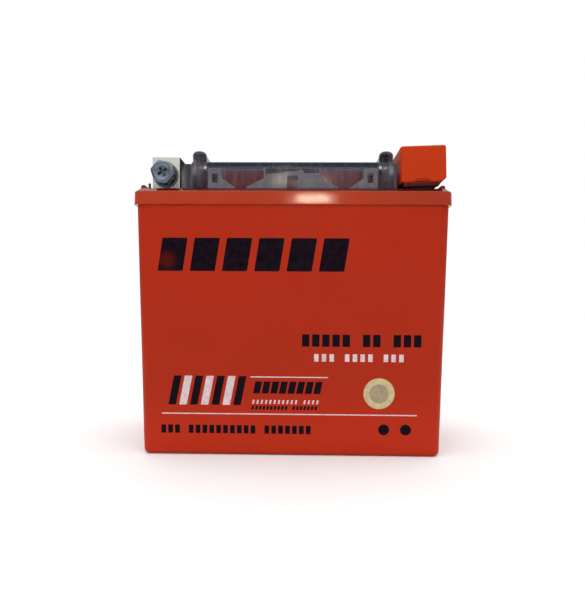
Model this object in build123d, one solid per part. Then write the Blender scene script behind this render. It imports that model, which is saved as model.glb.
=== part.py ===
from build123d import *
import os
from math import tan, radians

# A 12 V sealed motorcycle battery of six cells. Millimetres, +Z up. The origin is the centre of the
# underside, the printed face looks along -Y, and +X points to the positive terminal.

# --- driving dimensions ------------------------------------------------------------------------
LENGTH = 150.0            # over the skirt of the lid, along X
WIDTH = 87.0              # over the skirt of the lid, along Y
SKIRT_BOTTOM = 119.4      # height of the seam between the case and the lid
SKIRT_TOP = 125.6         # height where the lid's sloped shoulder begins
LID_TOP = 127.4           # height of the flat top of the lid
COVER_TOP = 139.8         # height of the clear cover
GUARD_TOP = 145.0         # height of the guard posts, the nominal height of the battery
CELLS = 6
CELL_PITCH = 24.0
DRAFT = 1.2               # degrees, on each wall of the case

# case
SKIRT_OVERHANG = 0.8
CASE_WALL = 2.2
CASE_FLOOR = 2.5
PARTITION = 1.5
CASE_CORNER = 3.5
CASE_FOOT_RADIUS = 2.6
CASE_TOP_LENGTH = LENGTH - 2 * SKIRT_OVERHANG
CASE_TOP_WIDTH = WIDTH - 2 * SKIRT_OVERHANG
DRAFT_INSET = SKIRT_BOTTOM * tan(radians(DRAFT))

# lid
SKIRT_DRAFT = 1.8
SHOULDER_INSET = 2.6
LID_CORNER = 4.3
LID_PLATE = 3.0
BEAD_X = 70.7
BEAD_WIDTH = 2.4
BEAD_HEIGHT = 1.7
BEAD_LENGTH = 79.6
BEAD_ROUNDING = 0.9
MARK_X = -67.9            # black peg that marks the negative pole
MARK_Y = -39.0
MARK_DIAMETER = 1.2
MARK_HEIGHT = 2.6
MARK_DEPTH = 1.5

# clear cover: a wide part behind the terminals and a narrower part between them
COVER_WALL = 1.8
COVER_PLATE = 2.0
COVER_HALF_LENGTH = 68.0
COVER_FRONT_HALF = 47.5
COVER_FRONT_Y = -40.5
COVER_BAY_Y = -17.0
COVER_REAR_Y = 38.5
GUARD_X = 44.1
GUARD_DIAMETER = 6.6
GUARD_WALL = 1.4
GUARD_ROUNDING = 2.0
GUARD_FRONT_Y = COVER_FRONT_Y - 0.9
RIDGE_WIDTH = 6.2
RIDGE_REAR_Y = -20.5
RIDGE_DROP = 0.4          # the ridge lies this much lower than the post
RIDGE_SLOPE = 3.2
RIDGE_ROUNDING = 1.2
WING_REACH = {-1: 52.2, 1: 49.6}   # how far out the wing beside each post reaches
WING_FRONT_Y = -37.4
WING_THICKNESS = 1.6
RIB_HALF_LENGTH = 58.0
RIB_THICKNESS = 1.2
RIB_OFFSET = 3.5

# upright wall on the lid inside the cover, and the clip blocks between the two
CLIP_DEPTH = 4.0
CLIP_GAP = 0.25
CLIP_STEP = LID_TOP + 5.4       # height where the flared foot meets the block
CLIP_EDGE = 1.1                 # thickness of the foot at its tip
CENTRE_HALF = 13.6              # centre block: half its width and half the width of its foot
CENTRE_FOOT = 22.0
CENTRE_PASSAGE = (5.2, 6.4)     # width and height of the passage between its legs
CENTRE_SLOT_X = 9.0
CENTRE_SLOT = (7.0, 1.7)        # width and height of each slot
CENTRE_SLOT_DROP = 0.6
SIDE_TOE = 27.6                 # side block: distances of its foot's tip and its two sides from the middle
SIDE_INNER = 33.8
SIDE_OUTER = 40.3
SIDE_SLOT_X = 37.0
SIDE_SLOT = (2.8, 3.2, 7.6)     # width, and heights of its foot and head above the lid
WALL_SIDE_GAP = 1.7
WALL_BAY_GAP = 2.9
INNER_WALL = 2.0
INNER_WALL_TOP = COVER_TOP - COVER_PLATE - 0.3
CLIP_TOP = INNER_WALL_TOP

# filler necks and their valve caps
FILLER_PITCH = 22.0
FILLER_Y = 6.0
NECK_DIAMETER = 11.0
NECK_BORE = 8.0
NECK_HEIGHT = 6.0
VALVE_DIAMETER = 13.5
VALVE_HEIGHT = 8.4
VALVE_GRIP = 0.05         # gap between a cap and its neck
VALVE_DIMPLE = (8.5, 0.7)  # diameter and depth of the dimple in its top
VALVE_CHAMFER = 0.8

# terminals
TERMINAL_X = 61.0
TERMINAL_WIDTH = 13.3
TERMINAL_FRONT_Y = -35.3
TERMINAL_REAR_Y = -23.8
TERMINAL_TOP = 143.5
TERMINAL_FRONT_WALL = 3.0
TERMINAL_REAR_WALL = 2.5
TERMINAL_ROOF = 3.0
BOLT_HOLE = 6.5
BOLT_Z = 134.7
NUT_SIDE = 10.0
NUT_THICKNESS = 5.0
NUT_BORE = 6.1
NUT_CHAMFER = 0.5
TERMINAL_ROUNDING = 0.5
POST_DIAMETER = 9.0
POST_Y = -29.5
SEAL_DIAMETER = 16.0
SEAL_DEPTH = 2.0

# bolt and washers
BOLT_DIAMETER = 6.0
BOLT_LENGTH = 10.0
HEAD_ACROSS_FLATS = 10.0
HEAD_HEIGHT = 5.3
HEAD_TURN = 12            # degrees, how the flats stand
CROWN_RADIUS = HEAD_ACROSS_FLATS / 2 - 0.4
DISH_DIAMETER = 7.6
DISH_DEPTH = 0.6
CROSS_LENGTH = 6.4        # the cross recess
CROSS_WIDTH = 1.2
CROSS_DEPTH = 2.6
BOLT_CHAMFER = 0.6
FLAT_WASHER_DIAMETER = 12.0
FLAT_WASHER_THICKNESS = 1.0
SPRING_WASHER_DIAMETER = 10.4
SPRING_WASHER_THICKNESS = 1.5
WASHER_CUT = (5, 4, 0.8)  # the cut through the spring washer
WASHER_CUT_PLACE = (4, -2.5)

# hood over the positive terminal
HOOD_WIDTH = 21.2
HOOD_FRONT_Y = -42.6
HOOD_REAR_Y = -21.0
HOOD_TOP = 147.0
HOOD_FRONT_BOTTOM = 130.4
HOOD_SIDE_BOTTOM = 129.8
HOOD_LEG_BOTTOM = 128.3
HOOD_WALL = 1.6
HOOD_ROUNDING = 1.1
HOOD_SIDE_SETBACK = 3.0   # the sides hang lower than the front, from this far behind it
HOOD_LEGS = (-8.3, 7.3)   # places of the two feet of the front wall
HOOD_LEG_WIDTH = 2.2
HOOD_LIP = (0.9, 2.4, 128.6)   # front and back of the lip between the feet, its bottom
HOOD_NOTCH = (3.7, 1.4)   # half its width and its height
HOOD_NOTCH_SHIFT = -0.7
HOOD_CORNER = (2.6, 2.1)  # width and height cut off the outer bottom edge
RIB = 1.2
GRIP_GAP = 0.45           # between the hood's ribs and the terminal's sides
STOP_GAP = 0.5            # between the hood's ribs and the terminal's top
STOP_X = 4.0
HOOD_TILT = 2.0           # degrees, the loose hood sits a little higher on its outer side

# plates and straps
POSITIVE_PLATES = 3
POSITIVE_THICKNESS = 2.2
NEGATIVE_THICKNESS = 1.7
SEPARATOR_THICKNESS = 1.1
PLATE_WIDTH = 73.0
PLATE_BOTTOM = 4.5
PLATE_TOP = 97.0
LUG_WIDTH = 10.0
STRAP_Y = 28.0
STRAP_WIDTH = 14.0
STRAP_BOTTOM = 103.0
STRAP_TOP = 107.5
LINK_TAB = 3.5
LINK_HEIGHT = 7.0
LINK_WIDTH = 10.0
LINK_PLUG = 5.6
END_CELL_SHIFT = 0.6      # the end cells' plates stand clear of the sloping end wall


# --- plain shapes ------------------------------------------------------------------------------
def block(x0, x1, y0, y1, z0, z1):
    return Pos((x0 + x1) / 2, (y0 + y1) / 2, (z0 + z1) / 2) * Box(x1 - x0, y1 - y0, z1 - z0)


def upright(x, y, z0, z1, diameter):
    return Pos(x, y, (z0 + z1) / 2) * Cylinder(diameter / 2, z1 - z0)


def lying(x, z, y0, y1, diameter):
    """A cylinder along Y."""
    return Pos(x, (y0 + y1) / 2, z) * Rot(90, 0, 0) * Cylinder(diameter / 2, y1 - y0)


def drafted(length, width, corner, z0, height, taper):
    outline = Plane.XY.offset(z0) * RectangleRounded(length, width, corner)
    return extrude(outline, height, taper=taper)


def cell_x(cell):
    """Middle of cell 1..6, counted from the negative end."""
    return (cell - (CELLS + 1) / 2) * CELL_PITCH


def cell_slab(cell, z0, z1):
    """The room between a cell's two partitions, as wide and long as the whole case."""
    left = -LENGTH if cell == 1 else cell_x(cell) - (CELL_PITCH - PARTITION) / 2
    right = LENGTH if cell == CELLS else cell_x(cell) + (CELL_PITCH - PARTITION) / 2
    return block(left, right, -WIDTH, WIDTH, z0, z1)


# --- case and lid ------------------------------------------------------------------------------
def case():
    foot_length = CASE_TOP_LENGTH - 2 * DRAFT_INSET
    foot_width = CASE_TOP_WIDTH - 2 * DRAFT_INSET
    shell = drafted(foot_length, foot_width, CASE_CORNER, 0, SKIRT_BOTTOM, -DRAFT)
    shell = fillet(shell.faces().sort_by(Axis.Z)[0].edges(), CASE_FOOT_RADIUS)
    floor_growth = 2 * CASE_FLOOR * tan(radians(DRAFT))
    room = drafted(foot_length + floor_growth - 2 * CASE_WALL, foot_width + floor_growth - 2 * CASE_WALL,
                   CASE_CORNER - CASE_WALL / 2, CASE_FLOOR, SKIRT_BOTTOM - CASE_FLOOR, -DRAFT)
    for cell in range(1, CELLS + 1):
        shell -= room & cell_slab(cell, 0, SKIRT_BOTTOM)
    for boundary in range(1, CELLS):
        shell -= link_plug(boundary, LINK_PLUG + 0.1)
    return shell


def cover_outline():
    corners = [(COVER_FRONT_HALF, COVER_FRONT_Y), (COVER_FRONT_HALF, COVER_BAY_Y),
               (COVER_HALF_LENGTH, COVER_BAY_Y), (COVER_HALF_LENGTH, COVER_REAR_Y)]
    mirrored = [(-x, y) for x, y in reversed(corners)]
    return Polygon(*corners, *mirrored, align=None)


def inner_wall():
    """The wall that stands on the lid inside the clear cover and keeps the cover in place."""
    half = COVER_HALF_LENGTH - COVER_WALL - WALL_SIDE_GAP
    front_half = COVER_FRONT_HALF - COVER_WALL - WALL_BAY_GAP
    front = COVER_FRONT_Y + COVER_WALL + CLIP_GAP + CLIP_DEPTH
    bay = COVER_BAY_Y + COVER_WALL + WALL_BAY_GAP
    rear = COVER_REAR_Y - COVER_WALL - CLIP_GAP - CLIP_DEPTH
    corners = [(front_half, front), (front_half, bay), (half, bay), (half, rear)]
    mirrored = [(-x, y) for x, y in reversed(corners)]
    outline = Polygon(*corners, *mirrored, align=None)
    ring = outline - offset(outline, -INNER_WALL, kind=Kind.INTERSECTION)
    return extrude(Plane.XY.offset(LID_TOP) * ring, INNER_WALL_TOP - LID_TOP)


def filler_places():
    for number in range(1, CELLS + 1):
        yield number, (number - (CELLS + 1) / 2) * FILLER_PITCH


def end_bead(side):
    bead = block(side * BEAD_X - BEAD_WIDTH / 2, side * BEAD_X + BEAD_WIDTH / 2,
                 -BEAD_LENGTH / 2, BEAD_LENGTH / 2, LID_TOP - 0.5, LID_TOP + BEAD_HEIGHT)
    return fillet(bead.faces().sort_by(Axis.Z)[-1].edges().filter_by(Axis.Y), BEAD_ROUNDING)


def lid():
    skirt = drafted(LENGTH, WIDTH, LID_CORNER, SKIRT_BOTTOM, SKIRT_TOP - SKIRT_BOTTOM, SKIRT_DRAFT)
    growth = (SKIRT_TOP - SKIRT_BOTTOM) * tan(radians(SKIRT_DRAFT))
    slope = 90 - Vector(SHOULDER_INSET, LID_TOP - SKIRT_TOP).get_angle(Vector(1, 0))
    shoulder = drafted(LENGTH - 2 * growth, WIDTH - 2 * growth, LID_CORNER - growth,
                       SKIRT_TOP, LID_TOP - SKIRT_TOP, slope)
    body = skirt + shoulder
    room = drafted(CASE_TOP_LENGTH - 2 * CASE_WALL, CASE_TOP_WIDTH - 2 * CASE_WALL,
                   CASE_CORNER - CASE_WALL / 2, SKIRT_BOTTOM, LID_TOP - LID_PLATE - SKIRT_BOTTOM, 0)
    for cell in range(1, CELLS + 1):
        body -= room & cell_slab(cell, 0, LID_TOP)
    for side in (-1, 1):
        x = side * TERMINAL_X
        boss_bottom = LID_TOP - LID_PLATE - SEAL_DEPTH
        body += upright(x, POST_Y, boss_bottom, LID_TOP - LID_PLATE + 0.5, SEAL_DIAMETER + 4) & room
        body -= upright(x, POST_Y, LID_TOP - SEAL_DEPTH, LID_TOP, SEAL_DIAMETER)
        body -= upright(x, POST_Y, boss_bottom, LID_TOP, POST_DIAMETER + 0.1)
        body += end_bead(side)
    body += inner_wall()
    for _, x in filler_places():
        body += upright(x, FILLER_Y, LID_TOP - 0.5, LID_TOP + NECK_HEIGHT, NECK_DIAMETER)
        body -= upright(x, FILLER_Y, LID_TOP - LID_PLATE, LID_TOP + NECK_HEIGHT, NECK_BORE)
    return body - upright(MARK_X, MARK_Y, LID_TOP - MARK_DEPTH, LID_TOP, MARK_DIAMETER)


def negative_mark():
    """A small black peg pressed into the lid beside the negative terminal."""
    peg = upright(MARK_X, MARK_Y, LID_TOP - MARK_DEPTH, LID_TOP + MARK_HEIGHT, MARK_DIAMETER)
    return chamfer(peg.faces().sort_by(Axis.Z)[-1].edges(), MARK_DIAMETER / 5)


# --- clear cover -------------------------------------------------------------------------------
def guard_place(side):
    return side * GUARD_X, GUARD_FRONT_Y + GUARD_DIAMETER / 2


def guard(side):
    """A round post at the front corner of the terminal's bay, with a ridge behind it and a wing beside it."""
    x, y = guard_place(side)
    post = upright(x, y, LID_TOP, GUARD_TOP, GUARD_DIAMETER)
    post = fillet(post.faces().sort_by(Axis.Z)[-1].edges(), GUARD_ROUNDING)
    ridge_x = side * (COVER_FRONT_HALF - RIDGE_WIDTH / 2)
    ridge = block(ridge_x - RIDGE_WIDTH / 2, ridge_x + RIDGE_WIDTH / 2, y, RIDGE_REAR_Y,
                  COVER_TOP - COVER_PLATE, GUARD_TOP - RIDGE_DROP)
    ridge = chamfer(ridge.edges().group_by(Axis.Y)[-1].sort_by(Axis.Z)[-1], RIDGE_SLOPE)
    ridge = fillet(ridge.edges().filter_by(Axis.Y).group_by(Axis.Z)[-1], RIDGE_ROUNDING)
    near, far = sorted((side * (COVER_FRONT_HALF - COVER_WALL / 2), side * WING_REACH[side]))
    wing = block(near, far, WING_FRONT_Y, WING_FRONT_Y + WING_THICKNESS, LID_TOP, COVER_TOP - 0.2)
    return post + ridge + wing


def top_cover():
    outline = cover_outline()
    outer_corners = outline.vertices().filter_by(lambda v: abs(abs(v.X) - COVER_HALF_LENGTH) < 0.1)
    outline = fillet(outer_corners, 3.0)
    shell = extrude(Plane.XY.offset(LID_TOP) * outline, COVER_TOP - LID_TOP)
    shell = fillet(shell.faces().sort_by(Axis.Z)[-1].edges(), 0.7)
    room = offset(cover_outline(), -COVER_WALL, kind=Kind.INTERSECTION)
    room = extrude(Plane.XY.offset(LID_TOP) * room, COVER_TOP - COVER_PLATE - LID_TOP)
    for side in (-1, 1):
        shell += guard(side)
    shell -= room
    for side in (-1, 1):
        place = guard_place(side)
        shell += upright(*place, LID_TOP, COVER_TOP, GUARD_DIAMETER)
        shell -= upright(*place, LID_TOP, GUARD_TOP - GUARD_ROUNDING - 0.4, GUARD_DIAMETER - 2 * GUARD_WALL)
    rib_bottom = LID_TOP + VALVE_HEIGHT + 0.5
    for y in (FILLER_Y - RIB_OFFSET, FILLER_Y + RIB_OFFSET):
        shell += block(-RIB_HALF_LENGTH, RIB_HALF_LENGTH, y - RIB_THICKNESS / 2, y + RIB_THICKNESS / 2,
                       rib_bottom, COVER_TOP - COVER_PLATE + 0.2)
    return shell


# --- clip blocks under the cover ---------------------------------------------------------------
def clip_solid(points, front, rear):
    profile = Plane.XZ * Polygon(*points, align=None)
    solid = extrude(profile, rear - front, dir=(0, 1, 0))
    return Pos(0, front, 0) * solid


def clip_centre(front, rear):
    """Two blocks joined by a bridge, each with a flared foot and a slot for the cover's catch."""
    right = [(CENTRE_FOOT, LID_TOP), (CENTRE_FOOT, LID_TOP + CLIP_EDGE), (CENTRE_HALF, CLIP_STEP),
             (CENTRE_HALF, CLIP_TOP)]
    left = [(-x, z) for x, z in reversed(right)]
    solid = clip_solid(right + left, front, rear)
    passage, passage_height = CENTRE_PASSAGE
    solid -= block(-passage / 2, passage / 2, front, rear, LID_TOP, LID_TOP + passage_height)
    wide, high = CENTRE_SLOT
    slot_top = CLIP_TOP - CENTRE_SLOT_DROP
    for x in (-CENTRE_SLOT_X, CENTRE_SLOT_X):
        solid -= block(x - wide / 2, x + wide / 2, front, rear, slot_top - high, slot_top)
    return solid


def clip_side(side, front, rear):
    """One block with a flared foot towards the middle and an upright slot."""
    points = [(SIDE_TOE, LID_TOP), (SIDE_OUTER, LID_TOP), (SIDE_OUTER, CLIP_TOP), (SIDE_INNER, CLIP_TOP),
              (SIDE_INNER, CLIP_STEP), (SIDE_TOE, LID_TOP + CLIP_EDGE)]
    solid = clip_solid([(side * x, z) for x, z in points], front, rear)
    wide, low, high = SIDE_SLOT
    x = side * SIDE_SLOT_X
    return solid - block(x - wide / 2, x + wide / 2, front, rear, LID_TOP + low, LID_TOP + high)


def clips(place, front):
    rear = front + CLIP_DEPTH
    return {
        f"{place}_clip_left": clip_side(-1, front, rear),
        f"{place}_clip_centre": clip_centre(front, rear),
        f"{place}_clip_right": clip_side(1, front, rear),
    }


# --- valve caps --------------------------------------------------------------------------------
def valve_cap(x):
    """A soft cup pushed down over a filler neck."""
    bottom, top = LID_TOP + 0.4, LID_TOP + VALVE_HEIGHT
    cup = upright(x, FILLER_Y, bottom, top, VALVE_DIAMETER)
    cup = chamfer(cup.faces().sort_by(Axis.Z)[-1].edges(), VALVE_CHAMFER)
    cup -= upright(x, FILLER_Y, bottom, LID_TOP + NECK_HEIGHT + VALVE_GRIP, NECK_DIAMETER + 2 * VALVE_GRIP)
    dimple, depth = VALVE_DIMPLE
    return cup - upright(x, FILLER_Y, top - depth, top, dimple)


# --- terminals ---------------------------------------------------------------------------------
def terminal(side):
    """A block with a slot through it from side to side for the square nut."""
    x = side * TERMINAL_X
    half = TERMINAL_WIDTH / 2
    body = block(x - half, x + half, TERMINAL_FRONT_Y, TERMINAL_REAR_Y, LID_TOP, TERMINAL_TOP)
    body = fillet(body.edges().filter_by(Axis.Z), TERMINAL_ROUNDING)
    slot_floor = BOLT_Z - NUT_SIDE / 2
    body -= block(x - half, x + half, TERMINAL_FRONT_Y + TERMINAL_FRONT_WALL,
                  TERMINAL_REAR_Y - TERMINAL_REAR_WALL, slot_floor, TERMINAL_TOP - TERMINAL_ROOF)
    body -= lying(x, BOLT_Z, TERMINAL_FRONT_Y, TERMINAL_FRONT_Y + TERMINAL_FRONT_WALL, BOLT_HOLE)
    top_hole_y = (TERMINAL_FRONT_Y + TERMINAL_REAR_Y) / 2
    return body - upright(x, top_hole_y, TERMINAL_TOP - TERMINAL_ROOF, TERMINAL_TOP, BOLT_HOLE)


def square_nut(side):
    x = side * TERMINAL_X
    front = TERMINAL_FRONT_Y + TERMINAL_FRONT_WALL
    half = NUT_SIDE / 2
    nut = block(x - half, x + half, front, front + NUT_THICKNESS, BOLT_Z - half, BOLT_Z + half)
    nut = chamfer(nut.faces().sort_by(Axis.Y)[-1].edges(), NUT_CHAMFER)
    return nut - lying(x, BOLT_Z, front, front + NUT_THICKNESS, NUT_BORE)


def end_post(side):
    return upright(side * TERMINAL_X, POST_Y, STRAP_TOP, LID_TOP, POST_DIAMETER)


def post_seal(side):
    ring = upright(side * TERMINAL_X, POST_Y, LID_TOP - SEAL_DEPTH, LID_TOP, SEAL_DIAMETER)
    return ring - upright(side * TERMINAL_X, POST_Y, LID_TOP - SEAL_DEPTH, LID_TOP, POST_DIAMETER + 0.1)


# --- bolt and washers of the negative terminal --------------------------------------------------
def flat_washer():
    rear = TERMINAL_FRONT_Y
    front = rear - FLAT_WASHER_THICKNESS
    ring = lying(-TERMINAL_X, BOLT_Z, front, rear, FLAT_WASHER_DIAMETER)
    return ring - lying(-TERMINAL_X, BOLT_Z, front, rear, BOLT_DIAMETER + 0.4)


def spring_washer():
    """A ring that is cut through on one side."""
    rear = TERMINAL_FRONT_Y - FLAT_WASHER_THICKNESS
    front = rear - SPRING_WASHER_THICKNESS
    ring = lying(-TERMINAL_X, BOLT_Z, front, rear, SPRING_WASHER_DIAMETER)
    ring -= lying(-TERMINAL_X, BOLT_Z, front, rear, BOLT_DIAMETER + 0.2)
    middle = (front + rear) / 2
    across, down = WASHER_CUT_PLACE
    cut = Pos(-TERMINAL_X + across, middle, BOLT_Z + down) * Rot(0, 30, 0) * Rot(35, 0, 0) * Box(*WASHER_CUT)
    return ring - cut


def bolt():
    seat = TERMINAL_FRONT_Y - FLAT_WASHER_THICKNESS - SPRING_WASHER_THICKNESS
    front = seat - HEAD_HEIGHT
    x = -TERMINAL_X
    hexagon = RegularPolygon(HEAD_ACROSS_FLATS / 2, 6, major_radius=False, rotation=HEAD_TURN)
    head = extrude(Plane((x, seat, BOLT_Z), x_dir=(1, 0, 0), z_dir=(0, -1, 0)) * hexagon, HEAD_HEIGHT)
    corner_cone = Cone(CROWN_RADIUS, CROWN_RADIUS + 2 * HEAD_HEIGHT, HEAD_HEIGHT,
                       align=(Align.CENTER, Align.CENTER, Align.MIN))
    head &= Pos(x, front, BOLT_Z) * Rot(-90, 0, 0) * corner_cone
    head -= lying(x, BOLT_Z, front, front + DISH_DEPTH, DISH_DIAMETER)
    for turn in (45, 135):
        head -= Pos(x, front, BOLT_Z) * Rot(0, turn, 0) * Box(CROSS_LENGTH, 2 * CROSS_DEPTH, CROSS_WIDTH)
    shank = lying(x, BOLT_Z, seat, seat + BOLT_LENGTH, BOLT_DIAMETER)
    shank = chamfer(shank.faces().sort_by(Axis.Y)[-1].edges(), BOLT_CHAMFER)
    return head + shank


# --- hood over the positive terminal -------------------------------------------------------------
def hood():
    half = HOOD_WIDTH / 2
    x = TERMINAL_X
    shell = block(x - half, x + half, HOOD_FRONT_Y, HOOD_REAR_Y, HOOD_FRONT_BOTTOM, HOOD_TOP)
    shell = fillet(shell.edges().filter_by(Axis.Z) + shell.faces().sort_by(Axis.Z)[-1].edges(), HOOD_ROUNDING)
    shell += block(x - half, x + half, HOOD_FRONT_Y + HOOD_SIDE_SETBACK, HOOD_REAR_Y - HOOD_SIDE_SETBACK,
                   HOOD_SIDE_BOTTOM, HOOD_TOP - 4)
    shell -= block(x - half + HOOD_WALL, x + half - HOOD_WALL, HOOD_FRONT_Y + HOOD_WALL,
                   HOOD_REAR_Y - HOOD_WALL, HOOD_SIDE_BOTTOM, HOOD_TOP - HOOD_WALL)
    for side in (-1, 1):
        shell += hood_ribs(x, side)
    wide, high = HOOD_NOTCH
    notch = Rot(90, 0, 0) * extrude(Ellipse(wide, high), HOOD_WALL / 2, both=True)
    shell -= Pos(x + HOOD_NOTCH_SHIFT, HOOD_FRONT_Y, HOOD_FRONT_BOTTOM) * notch
    shell += hood_feet(x)
    across, up = HOOD_CORNER
    edge = x + half
    cut_off = Polygon((edge, HOOD_SIDE_BOTTOM + up), (edge, HOOD_LEG_BOTTOM), (edge - across - 1, HOOD_LEG_BOTTOM),
                      (edge - across, HOOD_SIDE_BOTTOM), align=None)
    corner = Plane.XZ * cut_off
    shell -= extrude(corner, WIDTH, both=True)
    pivot = Axis((x, 0, (HOOD_FRONT_BOTTOM + HOOD_TOP) / 2), (0, -1, 0))
    return shell.rotate(pivot, HOOD_TILT)


def hood_ribs(x, side):
    """Ribs inside the hood that grip one side of the terminal, and one that rests on its top."""
    grip = TERMINAL_WIDTH / 2 + GRIP_GAP
    inner, outer = sorted((x + side * grip, x + side * (HOOD_WIDTH - HOOD_WALL) / 2))
    top = HOOD_TOP - HOOD_WALL / 2
    ribs = block(x + side * STOP_X - RIB / 2, x + side * STOP_X + RIB / 2, TERMINAL_FRONT_Y + 1,
                 TERMINAL_REAR_Y - 1, TERMINAL_TOP + STOP_GAP, top)
    for y in (TERMINAL_FRONT_Y + 3, TERMINAL_REAR_Y - 3):
        ribs += block(inner, outer, y - RIB / 2, y + RIB / 2, HOOD_SIDE_BOTTOM + 2, top)
    return ribs


def hood_feet(x):
    """Two feet under the front wall, with a lower lip between them that closes the hood in front."""
    lip_front, lip_rear, lip_bottom = HOOD_LIP
    feet = block(x + HOOD_LEGS[0], x + HOOD_LEGS[1], HOOD_FRONT_Y + lip_front, HOOD_FRONT_Y + lip_rear,
                 lip_bottom, HOOD_FRONT_BOTTOM + 3)
    for leg in HOOD_LEGS:
        feet += block(x + leg - HOOD_LEG_WIDTH / 2, x + leg + HOOD_LEG_WIDTH / 2, HOOD_FRONT_Y + 0.6,
                      HOOD_FRONT_Y + 3, HOOD_LEG_BOTTOM, HOOD_FRONT_BOTTOM + 3)
    return feet


# --- plates, separators and lead work ------------------------------------------------------------
def stack_middle(cell):
    shift = END_CELL_SHIFT if cell in (1, CELLS) else 0
    return cell_x(cell) + shift * (1 if cell == 1 else -1)


def positive_side(cell):
    """The plates are turned end for end in every other cell, so that the links are short."""
    return 1 if cell % 2 == 1 else -1


def stack_layout(cell):
    """Left face and thickness of each sheet in a cell: negative plates outside, positive ones between."""
    kinds = ["negative", "separator"]
    for _ in range(POSITIVE_PLATES):
        kinds += ["positive", "separator", "negative", "separator"]
    kinds.pop()
    thickness = {"positive": POSITIVE_THICKNESS, "negative": NEGATIVE_THICKNESS,
                 "separator": SEPARATOR_THICKNESS}
    left = stack_middle(cell) - sum(thickness[kind] for kind in kinds) / 2
    for kind in kinds:
        yield kind, left, left + thickness[kind]
        left += thickness[kind]


def plate_group(cell, kind):
    """All plates of one polarity in a cell, burned on to one strap by their lugs."""
    sign = positive_side(cell) if kind == "positive" else -positive_side(cell)
    y = sign * STRAP_Y
    half = stack_half()
    middle = stack_middle(cell)
    group = block(middle - half, middle + half, y - STRAP_WIDTH / 2, y + STRAP_WIDTH / 2,
                  STRAP_BOTTOM, STRAP_TOP)
    for sheet, left, right in stack_layout(cell):
        if sheet == kind:
            plate = block(left, right, -PLATE_WIDTH / 2, PLATE_WIDTH / 2, PLATE_BOTTOM, PLATE_TOP)
            lug = block(left, right, y - LUG_WIDTH / 2, y + LUG_WIDTH / 2, PLATE_TOP, STRAP_BOTTOM)
            group += plate + lug
    return group


def stack_half():
    negatives = POSITIVE_PLATES + 1
    sheets = 2 * POSITIVE_PLATES
    return (negatives * NEGATIVE_THICKNESS + POSITIVE_PLATES * POSITIVE_THICKNESS
            + sheets * SEPARATOR_THICKNESS) / 2


def separator_sheets(cell):
    sheets = []
    for sheet, left, right in stack_layout(cell):
        if sheet == "separator":
            sheets.append(block(left, right, -PLATE_WIDTH / 2 - 1, PLATE_WIDTH / 2 + 1,
                                CASE_FLOOR, PLATE_TOP + 2))
    return Compound(children=sheets)


def link_side(boundary):
    """The side of the case where the link through a partition lies."""
    return positive_side(boundary) * STRAP_Y


def boundary_x(boundary):
    """Middle of the partition between cells 1 and 2, 2 and 3, and so on."""
    return cell_x(boundary) + CELL_PITCH / 2


def link_plug(boundary, diameter):
    x = boundary_x(boundary)
    z = STRAP_TOP + LINK_HEIGHT / 2
    return Pos(x, link_side(boundary), z) * Rot(0, 90, 0) * Cylinder(diameter / 2, PARTITION)


def intercell_link(boundary):
    """Two tabs on the straps of neighbouring cells, welded through a hole in the partition."""
    x = boundary_x(boundary)
    y = link_side(boundary)
    link = link_plug(boundary, LINK_PLUG)
    for side in (-1, 1):
        near, far = x + side * PARTITION / 2, x + side * (PARTITION / 2 + LINK_TAB)
        link += block(min(near, far), max(near, far), y - LINK_WIDTH / 2, y + LINK_WIDTH / 2,
                      STRAP_TOP, STRAP_TOP + LINK_HEIGHT)
    return link


# --- the whole battery ---------------------------------------------------------------------------
def battery():
    nodes = {"case": case(), "lid": lid(), "negative_mark": negative_mark(), "top_cover": top_cover()}
    nodes |= clips("front", COVER_FRONT_Y + COVER_WALL + CLIP_GAP)
    nodes |= clips("rear", COVER_REAR_Y - COVER_WALL - CLIP_GAP - CLIP_DEPTH)
    for number, x in filler_places():
        nodes[f"valve_cap_{number}"] = valve_cap(x)
    for name, side in (("negative", -1), ("positive", 1)):
        nodes[f"{name}_terminal"] = terminal(side)
        nodes[f"{name}_nut"] = square_nut(side)
        nodes[f"{name}_post"] = end_post(side)
        nodes[f"{name}_seal"] = post_seal(side)
    nodes |= {"flat_washer": flat_washer(), "spring_washer": spring_washer(), "negative_bolt": bolt()}
    nodes["positive_cap"] = hood()
    for cell in range(1, CELLS + 1):
        nodes[f"positive_plates_{cell}"] = plate_group(cell, "positive")
        nodes[f"negative_plates_{cell}"] = plate_group(cell, "negative")
        nodes[f"separators_{cell}"] = separator_sheets(cell)
    for boundary in range(1, CELLS):
        nodes[f"intercell_link_{boundary}"] = intercell_link(boundary)
    return nodes


os.makedirs("parts", exist_ok=True)
for node, shape in battery().items():
    export_step(shape, f"parts/{node}.step")
    print(node, round(shape.volume, 1))
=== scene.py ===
from math import atan2, cos, hypot, pi, radians, sin, tan

import bmesh
import bpy
from bpy.props import FloatProperty, FloatVectorProperty, IntProperty, PointerProperty
from mathutils import Matrix, Vector


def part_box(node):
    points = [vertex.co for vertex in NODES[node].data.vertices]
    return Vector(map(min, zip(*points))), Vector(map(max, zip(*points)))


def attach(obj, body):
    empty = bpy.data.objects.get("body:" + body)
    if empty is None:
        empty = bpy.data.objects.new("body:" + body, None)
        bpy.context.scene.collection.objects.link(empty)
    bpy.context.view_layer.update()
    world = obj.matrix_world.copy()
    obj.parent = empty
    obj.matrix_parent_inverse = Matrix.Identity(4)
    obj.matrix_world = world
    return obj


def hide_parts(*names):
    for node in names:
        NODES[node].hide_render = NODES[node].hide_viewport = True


bl_info = {
    "name": "Motorcycle Battery",
    "version": (1, 0, 0),
    "blender": (4, 5, 0),
    "location": "View3D > Sidebar > Battery",
    "description": "Finishes, printing, fastenings and stage of a sealed six-cell motorcycle battery",
    "category": "Add Mesh",
}

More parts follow.
